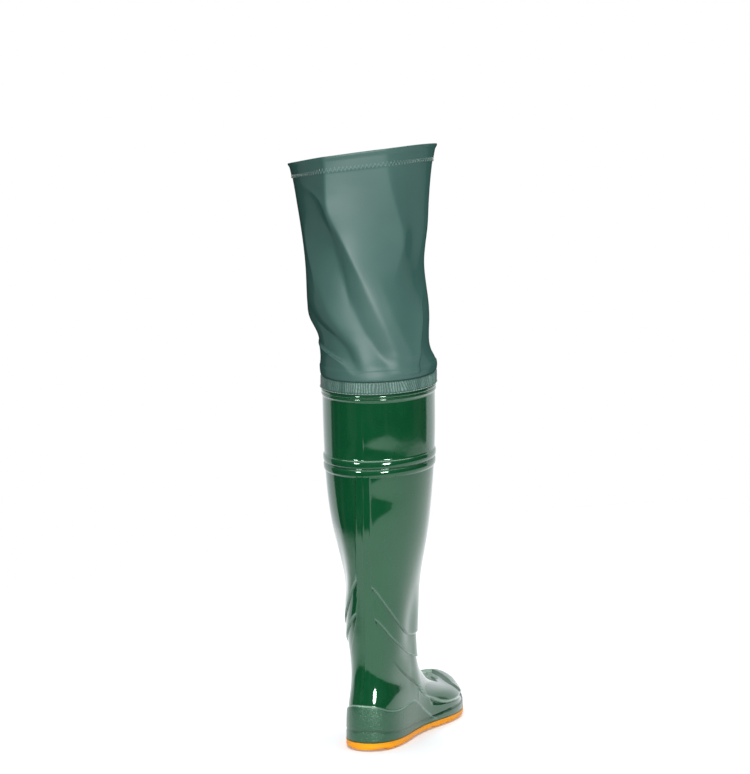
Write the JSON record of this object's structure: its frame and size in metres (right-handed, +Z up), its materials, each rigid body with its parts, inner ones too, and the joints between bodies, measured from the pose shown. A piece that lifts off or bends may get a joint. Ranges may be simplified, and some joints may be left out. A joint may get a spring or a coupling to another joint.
{
  "type": "thigh-length pvc wader boot",
  "caption": "Right-foot thigh wader: a hollow moulded PVC boot with a lugged outsole, rib band and heel counter, and a coated-fabric leg gathered onto its rim.",
  "frame": {"origin": "on the floor under the middle of the heel, on the face of a heel lug", "axes": "+Y to the toe, +X to the wearer's right (the outer side of this foot), +Z up the leg"},
  "size_m": [0.1633, 0.3051, 0.6666],
  "materials": {
    "outsole": "semi-matte orange PVC",
    "boot_upper": "high-gloss green PVC",
    "insole": "plain knitted sock",
    "gathered_band": "gathered PVC-coated fabric",
    "thigh_leg": "satin PVC-coated fabric"
  },
  "bodies": {
    "root": {"outsole": "outsole", "boot_upper": "boot_upper", "insole": "insole", "gathered_band": "gathered_band", "thigh_leg": "thigh_leg"}
  },
  "joints": []
}
